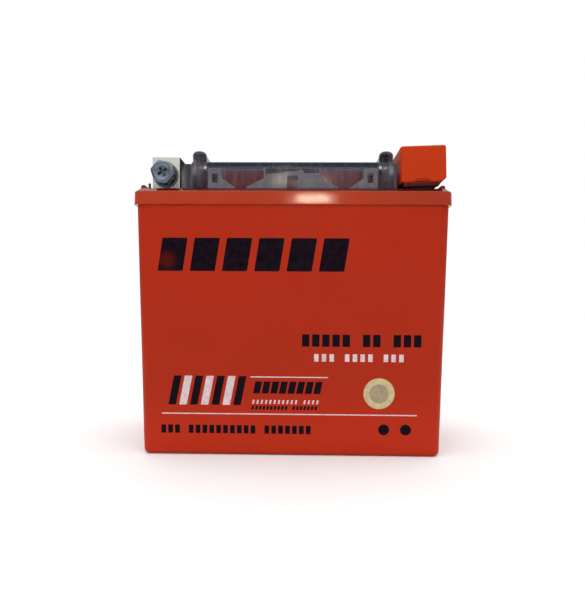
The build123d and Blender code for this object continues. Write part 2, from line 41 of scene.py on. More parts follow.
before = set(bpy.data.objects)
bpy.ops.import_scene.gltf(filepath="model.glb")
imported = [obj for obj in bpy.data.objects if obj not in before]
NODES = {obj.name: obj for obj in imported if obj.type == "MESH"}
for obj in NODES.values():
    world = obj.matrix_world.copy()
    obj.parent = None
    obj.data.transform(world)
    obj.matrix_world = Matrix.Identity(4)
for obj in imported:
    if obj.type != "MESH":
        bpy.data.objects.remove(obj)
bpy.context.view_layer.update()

MM = 0.001
CELLS = 6
HEADLINE_BLOCKS = 6
STRIPES = 7
PARTITION_PITCH = 24 * MM        # the partitions inside the case leave faint sink marks at this pitch
SHOULDER_FOOT = 125.9 * MM       # height at which the painted shade on the lid's shoulder begins
SHOULDER_EDGE_Y = -40.6 * MM
BEAD_EDGE = 69.2 * MM            # the beads lie farther out than this
LID_TOP = 127.4 * MM
COVER_RIM = (137.2 * MM, 139.8 * MM)   # the dark band along the top of the clear cover's front
POST_EDGE = 40.2 * MM            # the guard posts lie farther out than this, the wings beyond WING_EDGE
WING_EDGE = 47.4 * MM
POST_CROWN = 142.6 * MM
HOOD_X = 61 * MM
HOOD_EDGE = 130.35 * MM          # lower edge of the hood's front, which tilts by HOOD_TILT
HOOD_TILT = 2
STRIPE = (3.6 * MM, 5.2 * MM)    # width and pitch of the printed stripes
BOLT_AXIS_Z = 134.7 * MM
OUTWARD = Matrix(((1, 0, 0, 0), (0, 0, -1, 0), (0, 1, 0, 0), (0, 0, 0, 1)))   # local Z turned to world -Y


# --- what a user would change -------------------------------------------------------------------
def colour(name, description, value):
    return FloatVectorProperty(name=name, description=description, subtype="COLOR", size=3,
                               min=0, max=1, default=value)


def length(name, description, value):
    return FloatProperty(name=name, description=description, unit="LENGTH", min=0, default=value)


def angle(name, description, value):
    return FloatProperty(name=name, description=description, subtype="ANGLE", default=value)


def power(name, description, value):
    return FloatProperty(name=name, description=description, unit="POWER", min=0, default=value)


def place(name, description, value):
    return FloatVectorProperty(name=name, description=description, subtype="XYZ", unit="LENGTH",
                               size=3, default=value)


class BatteryColours(bpy.types.PropertyGroup):
    """Colours of the plastics, inks and metals."""
    case: colour("Case", "Moulded case", (0.362, 0.0205, 0.0048))
    lid: colour("Lid", "Lid and its skirt", (0.365, 0.030, 0.0050))
    hood: colour("Hood", "Soft hood over the positive terminal", (0.445, 0.031, 0.0022))
    smoke: colour("Smoke", "Tint of the clear cover", (0.90, 0.89, 0.91))
    clip: colour("Clip blocks", "Pale blocks that hold the cover", (0.62, 0.63, 0.61))
    black_ink: colour("Black ink", "Dark printing", (0.004, 0.0015, 0.004))
    pale_ink: colour("Pale ink", "Light printing", (0.62, 0.50, 0.52))
    ring: colour("Sticker ring", "Ring of the round sticker", (0.50, 0.40, 0.20))
    middle: colour("Sticker middle", "Middle of the round sticker", (0.30, 0.24, 0.14))
    terminal: colour("Terminal plating", "Tin plate on the terminal blocks", (0.66, 0.65, 0.60))
    bolt: colour("Bolt plating", "Zinc plate on the bolt and washers", (0.135, 0.165, 0.205))
    floor: colour("Floor", "Floor under the battery", (0.86, 0.86, 0.86))


class BatterySizes(bpy.types.PropertyGroup):
    """Sizes of the pieces that are finished here."""
    case_draft: angle("Case draft", "Slope of the case's walls", radians(1.2))
    ink: length("Ink", "Thickness of the printing", 0.04 * MM)
    edge: length("Edge", "Rounding of moulded edges", 0.25 * MM)
    metal_edge: length("Metal edge", "Rounding of cut metal edges", 0.2 * MM)
    thread_pitch: length("Thread pitch", "Pitch of the bolt's thread", 1.0 * MM)
    thread_steps: IntProperty(name="Thread steps", description="Steps in one turn of the thread",
                              min=12, max=96, default=36)
    washer_rise: length("Washer rise", "How far the spring washer's cut ends stand apart", 0.28 * MM)


class BatteryStage(bpy.types.PropertyGroup):
    """Camera, lights and floor."""
    eye: place("Camera place", "Where the camera stands", (5.3 * MM, -285.8 * MM, 71.2 * MM))
    yaw: angle("Yaw", "Camera turned to the left", radians(1.11))
    pitch: angle("Pitch", "Camera tipped down", radians(2.45))
    roll: angle("Roll", "Camera rolled", radians(0.38))
    lens: FloatProperty(name="Lens", description="Focal length", subtype="DISTANCE_CAMERA", default=30.93)
    shift: FloatProperty(name="Shift", description="Upward shift of the lens", default=0.05)
    floor_radius: length("Floor radius", "Radius of the round floor", 4.0)
    key: power("Key light", "Large soft light in front, to the left", 2.6)
    fill: power("Fill light", "Large soft light in front, to the right", 1.5)
    top: power("Top light", "Large soft light overhead", 0.4)
    rear: power("Rear light", "Soft light behind", 0.6)
    glint: power("Glint light", "Small warm light that shines in the skirt", 0.115)
    zenith: FloatProperty(name="Zenith", description="Light from straight above", min=0, default=1.85)
    horizon: FloatProperty(name="Horizon", description="Light from the sides", min=0, default=0.05)


# --- finishes -----------------------------------------------------------------------------------
class Finish:
    """A node material on Object coordinates, built step by step around one Principled shader."""

    def __init__(self, name, roughness, metallic=0.0, specular=0.5, coat=0.0, coat_roughness=0.03):
        self.material = bpy.data.materials.new(name)
        self.material.use_nodes = True
        self.nodes = self.material.node_tree.nodes
        self.links = self.material.node_tree.links
        self.shader = self.nodes["Principled BSDF"]
        self.set(self.shader, {"Roughness": roughness, "Metallic": metallic, "Specular IOR Level": specular,
                               "Coat Weight": coat, "Coat Roughness": coat_roughness})
        self.coordinates = self.nodes.new("ShaderNodeTexCoord").outputs["Object"]

    def set(self, node, values):
        for key, value in values.items():
            if isinstance(value, bpy.types.NodeSocket):
                self.links.new(value, node.inputs[key])
            else:
                node.inputs[key].default_value = value

    def add(self, kind, values, **settings):
        node = self.nodes.new("ShaderNode" + kind)
        for key, value in settings.items():
            setattr(node, key, value)
        self.set(node, values)
        return node

    def stretched(self, scale, shift=(0, 0, 0)):
        """The coordinates scaled by a different factor along each axis."""
        return self.add("Mapping", {"Vector": self.coordinates, "Scale": scale, "Location": shift}).outputs[0]

    def noise(self, scale, detail=2.0, distortion=0.0, vector=None):
        values = {"Vector": vector or self.coordinates, "Scale": scale, "Detail": detail,
                  "Distortion": distortion}
        return self.add("TexNoise", values).outputs["Fac"]

    def span(self, value, from_low, from_high, low, high, smooth=False):
        kind = "SMOOTHSTEP" if smooth else "LINEAR"
        values = {"Value": value, "From Min": from_low, "From Max": from_high, "To Min": low, "To Max": high}
        return self.add("MapRange", values, interpolation_type=kind).outputs["Result"]

    def sum(self, first, second, operation="ADD"):
        return self.add("Math", {0: first, 1: second}, operation=operation).outputs[0]

    def blend(self, factor, first, second):
        """Two colours mixed by a value that changes over the surface."""
        node = self.nodes.new("ShaderNodeMix")
        node.data_type = "RGBA"
        self.set(node, {0: factor, 6: paint(first), 7: paint(second)})
        return node.outputs[2]

    def bump(self, height, distance, strength=1.0):
        values = {"Height": height, "Distance": distance, "Strength": strength}
        if self.shader.inputs["Normal"].is_linked:
            values["Normal"] = self.shader.inputs["Normal"].links[0].from_socket
        self.set(self.shader, {"Normal": self.add("Bump", values).outputs[0]})

    def axis(self, name):
        return self.add("SeparateXYZ", {0: self.coordinates}).outputs[name]

    def facing(self, name):
        """How far a face looks along one of the piece's own axes, from -1 to 1."""
        normals = self.nodes["Texture Coordinate"].outputs["Normal"]
        return self.add("SeparateXYZ", {0: normals}).outputs[name]

    def distance(self, value):
        """The value without its sign."""
        return self.sum(value, 0.0, "ABSOLUTE")

    def base(self):
        return self.shader.inputs["Base Color"].links[0].from_socket


def paint(value):
    return value if isinstance(value, bpy.types.NodeSocket) else (*value, 1.0)


def scaled(value, factor):
    return tuple(min(channel * factor, 1.0) for channel in value)


def moulded(name, tint, gloss, patch=22.0, drift=0.06, grain=1400.0, grain_depth=0.004, **shader):
    """Plastic or metal whose colour and gloss drift over large patches, with a fine grain."""
    finish = Finish(name, gloss, **shader)
    patches = finish.noise(patch, 3.0)
    finish.set(finish.shader, {
        "Base Color": finish.blend(finish.span(patches, 0.3, 0.7, 0, 1), scaled(tint, 1 - drift),
                                   scaled(tint, 1 + drift)),
        "Roughness": finish.span(finish.noise(patch * 6, 4.0), 0.3, 0.7, gloss * 0.85, gloss * 1.2),
    })
    finish.bump(finish.noise(grain, 3.0), grain_depth * MM)
    return finish


def case_finish(colours):
    """Glossy moulded plastic with faint sink marks over the partitions, and painted light that makes its foot
    and top paler.
    """
    finish = moulded("case_orange", colours.case, 0.34, drift=0.03, specular=0.10)
    from_partition = finish.add("Math", {0: finish.axis("X"), 1: PARTITION_PITCH / 2},
                                operation="PINGPONG").outputs[0]
    sink = finish.span(from_partition, 0, 4.5 * MM, 0, 1, smooth=True)
    finish.bump(sink, 0.05 * MM)
    finish.bump(finish.noise(14.0, 2.0), 0.3 * MM, 0.4)
    height = finish.axis("Z")
    # Painted light: the case is painted paler towards its foot and a little paler towards its top.
    foot = finish.span(height, 8 * MM, 36 * MM, 1, 0, smooth=True)
    head = finish.span(height, 84 * MM, 112 * MM, 0, 0.1, smooth=True)
    base = finish.base()
    warm = finish.blend(finish.sum(foot, head), base, scaled(colours.case, 1.22))
    finish.set(finish.shader, {"Base Color": warm})
    return finish.material


def lid_finish(colours):
    """The same plastic, glossier and slightly wavy, with painted shade on its front shoulder, on its end
    beads and towards its right end.
    """
    finish = moulded("lid_orange", colours.lid, 0.10, drift=0.04, specular=0.35)
    finish.bump(finish.noise(60.0, 2.0, vector=finish.stretched((1.6, 1.0, 0.7))), 0.05 * MM)
    # Painted shade: a dark band with a ragged lower edge is painted along the top of the lid's front
    # shoulder.
    painted_shade_height = finish.sum(finish.axis("Z"), finish.sum(finish.noise(140.0, 3.0), 0.7 * MM, "MULTIPLY"))
    shade = finish.span(painted_shade_height, SHOULDER_FOOT, SHOULDER_FOOT + 0.4 * MM, 0.0, 0.88, smooth=True)
    in_front = finish.span(finish.axis("Y"), SHOULDER_EDGE_Y, SHOULDER_EDGE_Y + 0.4 * MM, 1.0, 0.0)
    shade = finish.sum(shade, in_front, "MULTIPLY")
    base = finish.base()
    # Painted shade: the tops of the end beads are painted dark red-brown.
    aside = finish.distance(finish.axis("X"))
    above = finish.span(finish.axis("Z"), LID_TOP + 0.1 * MM, LID_TOP + 0.4 * MM, 0.0, 1.0)
    painted_bead_shade = finish.sum(finish.span(aside, BEAD_EDGE, BEAD_EDGE + 0.2 * MM, 0.0, 0.7), above, "MULTIPLY")
    # Painted shade: the lid is painted darker towards its right end.
    far = finish.span(finish.axis("X"), 20 * MM, 70 * MM, 0.0, 0.4, smooth=True)
    base = finish.blend(far, base, scaled(colours.lid, 0.68))
    base = finish.blend(painted_bead_shade, base, (0.11, 0.010, 0.009))
    finish.set(finish.shader, {"Base Color": finish.blend(shade, base, (0.035, 0.005, 0.007))})
    return finish.material


def hood_finish(colours):
    """Soft vinyl: satin, with a fine pebble, a few rubbed patches and painted shade along the lower edge of
    its front.
    """
    finish = moulded("hood_orange", colours.hood, 0.45, drift=0.05, grain=2600.0, grain_depth=0.01,
                     specular=0.10)
    finish.bump(finish.noise(160.0, 2.0), 0.05 * MM)
    # Painted shade: a dark strip is painted along the tilted lower edge of the hood's front.
    tilt = finish.sum(finish.sum(finish.axis("X"), HOOD_X, "SUBTRACT"), tan(radians(HOOD_TILT)), "MULTIPLY")
    level = finish.sum(finish.axis("Z"), tilt, "SUBTRACT")
    shade = finish.span(level, HOOD_EDGE - 0.45 * MM, HOOD_EDGE, 0.9, 0.0, smooth=True)
    base = finish.base()
    finish.set(finish.shader, {"Base Color": finish.blend(shade, base, (0.035, 0.006, 0.009))})
    return finish.material


def smoke_finish(colours):
    """Clear plastic with a grey tint, cloudier along its streaks and dark where seen edge on."""
    finish = Finish("smoke_clear", 0.10, specular=0.25)
    streaks = finish.noise(1.0, 3.0, vector=finish.stretched((420, 420, 38)))
    height = finish.axis("Z")
    upright = finish.span(finish.distance(finish.facing("Z")), 0.4, 0.8, 1.0, 0.0)
    streaks = finish.sum(finish.sum(finish.sum(streaks, 0.5, "SUBTRACT"), upright, "MULTIPLY"), 0.5)
    frontal = finish.span(finish.facing("Y"), -0.75, -0.5, 1.0, 0.0)
    rim = finish.sum(finish.span(height, COVER_RIM[0], COVER_RIM[0] + 0.3 * MM, 0.0, 1.0),
                     finish.span(height, COVER_RIM[1], COVER_RIM[1] + 0.3 * MM, 1.0, 0.0), "MULTIPLY")
    aside = finish.distance(finish.axis("X"))
    between = finish.span(aside, POST_EDGE, POST_EDGE + 0.6 * MM, 1.0, 0.25)
    band = finish.sum(finish.sum(rim, frontal, "MULTIPLY"), between, "MULTIPLY")
    tone = finish.blend(finish.span(streaks, 0.35, 0.65, 0, 1), (0.040, 0.036, 0.052), (0.15, 0.135, 0.165))
    crown = finish.span(height, POST_CROWN, POST_CROWN + 0.6 * MM, 0.0, 0.8)
    tone = finish.blend(crown, tone, (0.022, 0.016, 0.030))
    finish.set(finish.shader, {"Base Color": finish.blend(band, tone, (0.010, 0.018, 0.034)),
                               "Roughness": finish.span(finish.noise(300.0, 3.0), 0.3, 0.7, 0.06, 0.13)})
    finish.bump(finish.noise(90.0, 2.0), 0.05 * MM)
    facing = finish.add("LayerWeight", {"Blend": 0.42}).outputs["Facing"]
    solid = finish.span(facing, 0.0, 1.0, 0.10, 0.90)
    cloud = finish.span(streaks, 0.35, 0.70, 0.0, 0.16)
    cap = finish.span(height, POST_CROWN, POST_CROWN + 0.5 * MM, 0.0, 0.60)
    wing = finish.sum(finish.span(aside, WING_EDGE, WING_EDGE + 0.4 * MM, 0.0, 0.78),
                      finish.span(finish.axis("Y"), -33 * MM, -31 * MM, 1.0, 0.0), "MULTIPLY")
    cover = finish.sum(finish.sum(solid, cloud), finish.sum(cap, wing))
    cover = finish.sum(cover, finish.sum(band, 0.8, "MULTIPLY"))
    cover = finish.sum(cover, 1.0, "MINIMUM")
    clear = finish.add("BsdfTransparent", {"Color": paint(tuple(colours.smoke))})
    mix = finish.add("MixShader", {0: cover, 1: clear.outputs[0], 2: finish.shader.outputs[0]})
    output = finish.nodes["Material Output"]
    finish.links.new(mix.outputs[0], output.inputs["Surface"])
    return finish.material


def clip_finish(colours):
    finish = moulded("clip_grey", colours.clip, 0.62, drift=0.08, patch=60.0, grain_depth=0.01, specular=0.05)
    return finish.material


def rubber_finish():
    finish = moulded("valve_rubber", (0.022, 0.021, 0.021), 0.62, drift=0.2, patch=120.0, grain=3200.0,
                     grain_depth=0.03)
    return finish.material


def terminal_finish(name, colours, painted_shade_top):
    """Tin-plated casting: bright, duller in patches, with painted shade on its sides and at its foot."""
    finish = moulded(name, tuple(colours.terminal), 0.34, patch=90.0, drift=0.12, grain=900.0,
                     grain_depth=0.02, metallic=0.72)
    strokes = finish.noise(1.0, 4.0, vector=finish.stretched((220, 900, 2600)))
    finish.bump(strokes, 0.012 * MM)
    # Painted shade: the faces turned to the block's sides are painted dark.
    sideways = finish.facing("X")
    painted_side_shade = finish.span(finish.distance(sideways), 0.75, 0.95, 0.0, 0.95)
    # Painted shade: a band at the block's foot, up to the given height, is painted dark.
    foot = finish.span(finish.axis("Z"), painted_shade_top - 0.8 * MM, painted_shade_top, 0.94, 0.0, smooth=True)
    base = finish.base()
    # Where shade is painted, the colour is darkened and metallic and specular are turned down.
    painted_shade_mask = finish.sum(painted_side_shade, foot, "MAXIMUM")
    finish.set(finish.shader, {"Base Color": finish.blend(painted_shade_mask, base, (0.016, 0.013, 0.020)),
                               "Metallic": finish.span(painted_shade_mask, 0.0, 0.9, 0.72, 0.0),
                               "Specular IOR Level": finish.span(painted_shade_mask, 0.0, 0.9, 0.5, 0.0)})
    return finish.material


def steel_finish(name, tint, gloss, metallic=1.0, side_shade=0.0):
    """Plated steel with fine scratches and matt spots, and painted shade darkening it round its sides."""
    finish = moulded(name, tint, gloss, patch=260.0, drift=0.22, grain=2200.0, grain_depth=0.012,
                     metallic=metallic)
    finish.bump(finish.noise(1.0, 4.0, vector=finish.stretched((3000, 500, 700))), 0.008 * MM)
    forward = finish.facing("Y")
    # Painted shade: faces turned away from the piece's Y axis are painted darker by side_shade.
    side = finish.span(finish.distance(forward), 0.15, 0.5, side_shade, 0.0)
    base = finish.base()
    finish.set(finish.shader, {"Base Color": finish.blend(side, base, scaled(tint, 0.1))})
    return finish.material


def lead_finish():
    """Cast lead: matt grey, mottled and slightly crusted."""
    finish = moulded("lead", (0.20, 0.205, 0.22), 0.55, patch=140.0, drift=0.25, grain=700.0,
                     grain_depth=0.06, metallic=0.6)
    return finish.material


def paste_finish(name, dark, light):
    """Active paste pressed into a grid: a faint lattice of wires under a crumbly surface."""
    finish = Finish(name, 0.85, specular=0.3)
    bricks = finish.add("TexBrick", {"Vector": finish.add("CombineXYZ", {
        "X": finish.axis("Y"), "Y": finish.axis("Z")}).outputs[0], "Scale": 1.0, "Mortar Size": 0.0004,
        "Brick Width": 0.009, "Row Height": 0.0035, "Color1": paint((1, 1, 1)), "Color2": paint((1, 1, 1)),
        "Mortar": paint((0, 0, 0))}, offset=0.0)
    crumbs = finish.noise(900.0, 5.0)
    finish.set(finish.shader, {"Base Color": finish.blend(finish.span(crumbs, 0.3, 0.7, 0, 1), dark, light)})
    finish.bump(bricks.outputs["Color"], 0.08 * MM)
    finish.bump(crumbs, 0.1 * MM)
    return finish.material


def mat_finish():
    """Matted glass fibre: long pale threads lying every way."""
    finish = Finish("glass_mat", 0.9, specular=0.3)
    one_way = finish.noise(1.0, 3.0, 1.5, finish.stretched((3000, 400, 2400)))
    other_way = finish.noise(1.0, 3.0, 1.5, finish.stretched((3000, 2400, 400)))
    threads = finish.sum(one_way, other_way)
    finish.set(finish.shader, {"Base Color": finish.blend(finish.span(threads, 0.7, 1.3, 0, 1),
                                                          (0.62, 0.61, 0.58), (0.84, 0.84, 0.82))})
    finish.bump(threads, 0.05 * MM)
    return finish.material


def seal_finish():
    finish = moulded("seal_resin", (0.16, 0.012, 0.010), 0.25, patch=180.0, drift=0.2, grain=500.0,
                     grain_depth=0.03, coat=0.3)
    return finish.material


def black_ink_finish(colours, worn_at):
    """Dark screen ink, with a patch at its left end that was laid on thinly."""
    finish = Finish("print_black", 0.40, specular=0.05)
    mottle = finish.noise(420.0, 4.0)
    away = finish.add("VectorMath", {0: finish.coordinates, 1: worn_at}, operation="DISTANCE")
    thin = away.outputs["Value"]
    thin = finish.span(finish.sum(thin, finish.sum(mottle, 5 * MM, "MULTIPLY")), 3 * MM, 8.5 * MM, 0.55, 0.0,
                       smooth=True)
    ink = finish.blend(finish.span(mottle, 0.35, 0.7, 0, 1), tuple(colours.black_ink),
                       scaled(colours.black_ink, 2.2))
    finish.set(finish.shader, {"Base Color": finish.blend(thin, ink, scaled(colours.case, 0.35)),
                               "Roughness": finish.span(mottle, 0.3, 0.7, 0.26, 0.44)})
    return finish.material


def ink_finish(name, tint, gloss=0.38, coat=0.0):
    """Screen ink laid on slightly unevenly."""
    finish = Finish(name, gloss, specular=0.4, coat=coat)
    mottle = finish.noise(520.0, 4.0)
    finish.set(finish.shader, {
        "Base Color": finish.blend(finish.span(mottle, 0.35, 0.65, 0, 1), scaled(tint, 0.86),
                                   scaled(tint, 1.1)),
        "Roughness": finish.span(mottle, 0.3, 0.7, gloss * 0.8, gloss * 1.2)})
    return finish.material


def floor_finish(colours):
    """Pale painted board."""
    finish = Finish("stage_floor", 0.9, specular=0.1)
    finish.set(finish.shader, {"Base Color": finish.blend(finish.noise(3.0, 2.0), scaled(colours.floor, 0.99),
                                                          tuple(colours.floor))})
    return finish.material


# --- making pieces --------------------------------------------------------------------------------
def piece_from(bm, name, materials, body, replaced=()):
    """Makes a finished bmesh a piece that rides on its body and wears the finishes it is given."""
    mesh = bpy.data.meshes.new(name)
    bm.to_mesh(mesh)
    bm.free()
    for material in materials if isinstance(materials, (list, tuple)) else [materials]:
        mesh.materials.append(material)
    piece = bpy.data.objects.new(name, mesh)
    bpy.context.scene.collection.objects.link(piece)
    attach(piece, body)
    if replaced:
        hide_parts(*replaced)
    return piece


def soften(piece, width, limit=radians(32)):
    """Rounds the sharp edges and shades the piece smoothly up to them."""
    piece.data.shade_smooth()
    edge = piece.modifiers.new("edge", "BEVEL")
    edge.width = width
    edge.segments = 2
    edge.limit_method = "ANGLE"
    edge.angle_limit = limit
    edge.use_clamp_overlap = False
    edge.harden_normals = True
    level = piece.modifiers.new("level", "WEIGHTED_NORMAL")
    level.keep_sharp = True
    level.weight = 100
    return piece


def softened_copy(node, name, material, body, width=0.0):
    """The CAD node's own shape, merged into whole faces; its edges are rounded if a width is given."""
    bm = bmesh.new()
    bm.from_mesh(NODES[node].data)
    bmesh.ops.remove_doubles(bm, verts=bm.verts, dist=0.002 * MM)
    bmesh.ops.dissolve_limit(bm, angle_limit=radians(0.6), verts=bm.verts, edges=bm.edges)
    for layer in list(bm.loops.layers.uv):
        bm.loops.layers.uv.remove(layer)
    piece = piece_from(bm, name, material, body, [node])
    if width:
        return soften(piece, width)
    piece.data.shade_smooth()
    piece.data.set_sharp_from_angle(angle=radians(28))
    return piece


def repaint(node, material):
    """Gives a CAD node that stays as it is its better material."""
    data = NODES[node].data
    if data.materials:
        data.materials[0] = material
    else:
        data.materials.append(material)


def close_loop(bm, points):
    """A closed outline in the XZ plane, from (radius, height) pairs, ready to be spun about Z."""
    corners = [bm.verts.new((radius, 0, height)) for radius, height in points]
    edges = [bm.edges.new((a, b)) for a, b in zip(corners, corners[1:] + corners[:1])]
    return corners + edges


def open_loop(bm, points):
    corners = [bm.verts.new((radius, 0, height)) for radius, height in points]
    return corners + [bm.edges.new(pair) for pair in zip(corners, corners[1:])]


def turn(bm, outline, steps):
    """Spins an outline once round Z and closes its seam and poles."""
    bmesh.ops.spin(bm, geom=outline, cent=(0, 0, 0), axis=(0, 0, 1), dvec=(0, 0, 0), angle=2 * pi,
                   steps=steps, use_merge=True)
    bmesh.ops.remove_doubles(bm, verts=bm.verts, dist=0.001 * MM)
    bmesh.ops.recalc_face_normals(bm, faces=bm.faces)


def wind(bm, outline, rise, turns, steps):
    """Winds a closed outline round Z as a right-handed helix, with closed ends."""
    before = set(bm.faces)
    count = round(steps * turns)
    bmesh.ops.spin(bm, geom=outline, cent=(0, 0, 0), axis=(0, 0, 1), dvec=(0, 0, rise * turns / count),
                   angle=2 * pi * turns, steps=count, use_merge=False)
    made = [face for face in bm.faces if face not in before]
    rims = {edge for face in made for edge in face.edges if edge.is_boundary}
    caps = bmesh.ops.holes_fill(bm, edges=list(rims), sides=0)["faces"]
    bmesh.ops.recalc_face_normals(bm, faces=made + caps)


def cut_with(piece, bm):
    """Cuts the shape in a bmesh out of a piece and keeps the result as its mesh."""
    cutter = bpy.data.objects.new("cutter", bpy.data.meshes.new("cutter"))
    bm.to_mesh(cutter.data)
    bm.free()
    bpy.context.scene.collection.objects.link(cutter)
    cut = piece.modifiers.new("cut", "BOOLEAN")
    cut.object = cutter
    cut.operation = "DIFFERENCE"
    cut.solver = "EXACT"
    depsgraph = bpy.context.evaluated_depsgraph_get()
    result = bpy.data.meshes.new_from_object(piece.evaluated_get(depsgraph))
    piece.modifiers.clear()
    spent = piece.data
    piece.data = result
    bpy.data.meshes.remove(spent)
    bpy.data.objects.remove(cutter)


# --- printing -------------------------------------------------------------------------------------
class CaseFront:
    """The printed front face of the case: x along it, height above the underside, ink standing outwards."""

    def __init__(self, draft):
        low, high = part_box("case")
        self.draft = draft
        self.edge = Vector((0, low.y, high.z))

    def at(self, x, height, lift=0.0):
        s, c = sin(self.draft), cos(self.draft)
        turned = Matrix(((1, 0, 0, 0), (0, -s, -c, 0), (0, c, -s, 0), (0, 0, 0, 1)))
        spot = self.edge + Vector((0, -s, c)) * ((height - self.edge.z) / c) + Vector((0, -c, -s)) * lift
        return Matrix.Translation(spot + Vector((x, 0, 0))) @ turned


def ink_slab(bm, front, box, thick, slant=0.0, corner=0.12 * MM):
    """A flat patch of ink that fills a box (x0, x1, height0, height1), leaning right by slant."""
    x0, x1, low, high = box
    made = bmesh.ops.create_cube(bm, size=1.0)["verts"]
    shape = Matrix.Diagonal((x1 - x0, high - low, thick, 1)).to_4x4()
    shear = Matrix.Identity(4)
    shear[0][1] = slant
    bmesh.ops.transform(bm, matrix=Matrix.Translation((0, 0, thick / 2)) @ shear @ shape, verts=made)
    standing = [e for e in {e for v in made for e in v.link_edges}
                if abs((e.verts[0].co - e.verts[1].co).normalized().z) > 0.99]
    rounded = bmesh.ops.bevel(bm, geom=standing, offset=corner, offset_type="OFFSET", affect="EDGES",
                              segments=3, profile=0.5, material=-1)
    verts = {v for f in rounded["faces"] for v in f.verts} | {v for v in made if v.is_valid}
    bmesh.ops.transform(bm, matrix=front.at((x0 + x1) / 2, (low + high) / 2), verts=list(verts))


def ink_disc(bm, front, x, height, radius, thick, lift=0.0, material=0):
    """A round patch of ink."""
    made = bmesh.ops.create_cone(bm, cap_ends=True, cap_tris=False, segments=64, radius1=1, radius2=1,
                                 depth=1)["verts"]
    for face in {f for v in made for f in v.link_faces}:
        face.material_index = material
    size = Matrix.Diagonal((radius, radius, thick, 1))
    bmesh.ops.transform(bm, matrix=front.at(x, height, lift + thick / 2) @ size, verts=made)


def ink_row(bm, front, box, thick, words, slant=0.0, fill=0.66):
    """A row of small upright bars, grouped as words are."""
    x0, x1, low, high = box
    places = sum(words) + (len(words) - 1)
    pitch = (x1 - x0) / places
    place_number = 0
    for word in words:
        for _ in range(word):
            left = x0 + place_number * pitch
            ink_slab(bm, front, (left, left + pitch * fill, low, high), thick, slant)
            place_number += 1
        place_number += 1


# --- the operators --------------------------------------------------------------------------------
class Maker:
    """Shared by the operators: each makes its pieces once and finishes or fails."""
    bl_options = {"REGISTER"}

    def execute(self, context):
        scene = context.scene
        self.make(scene.battery_colours, scene.battery_sizes, scene.battery_stage)
        return {"FINISHED"}


class BATTERY_OT_shell(Maker, bpy.types.Operator):
    """Case and lid with rounded edges and moulded plastic"""
    bl_idname = "battery.shell"
    bl_label = "Case and Lid"

    def make(self, colours, sizes, stage):
        softened_copy("case", "case_shell", case_finish(colours), "battery", sizes.edge * 0.6)
        softened_copy("lid", "lid_shell", lid_finish(colours), "battery", sizes.edge)


class BATTERY_OT_cover(Maker, bpy.types.Operator):
    """Smoke-clear cover with its guard posts"""
    bl_idname = "battery.cover"
    bl_label = "Clear Cover"

    def make(self, colours, sizes, stage):
        softened_copy("top_cover", "clear_cover", smoke_finish(colours), "cover")


class BATTERY_OT_under_cover(Maker, bpy.types.Operator):
    """Pale clip blocks and rubber valve caps under the cover"""
    bl_idname = "battery.under_cover"
    bl_label = "Clips and Valve Caps"

    def make(self, colours, sizes, stage):
        grey = clip_finish(colours)
        rubber = rubber_finish()
        softened_copy("negative_mark", "negative_peg", rubber, "battery", sizes.edge * 0.4)
        for row in ("front", "rear"):
            for spot in ("left", "centre", "right"):
                softened_copy(f"{row}_clip_{spot}", f"{row}_{spot}_clip_block", grey, "battery",
                              sizes.edge * 1.4)
        for number in range(1, CELLS + 1):
            softened_copy(f"valve_cap_{number}", f"rubber_valve_cap_{number}", rubber, "battery",
                          sizes.edge)


class BATTERY_OT_terminals(Maker, bpy.types.Operator):
    """Plated terminal blocks with their square nuts, posts and seals"""
    bl_idname = "battery.terminals"
    bl_label = "Terminals"

    def make(self, colours, sizes, stage):
        nut = steel_finish("nut_steel", (0.50, 0.49, 0.45), 0.34)
        lead = lead_finish()
        seal = seal_finish()
        # For each pole, the height up to which painted shade darkens its terminal block's foot.
        for pole, painted_shade_top in (("negative", 127.6 * MM), ("positive", 130.6 * MM)):
            plate = terminal_finish(f"{pole}_plating", colours, painted_shade_top)
            softened_copy(f"{pole}_terminal", f"{pole}_terminal_block", plate, "battery",
                          sizes.metal_edge)
            softened_copy(f"{pole}_nut", f"{pole}_square_nut", nut, "battery", sizes.metal_edge)
            repaint(f"{pole}_post", lead)
            repaint(f"{pole}_seal", seal)


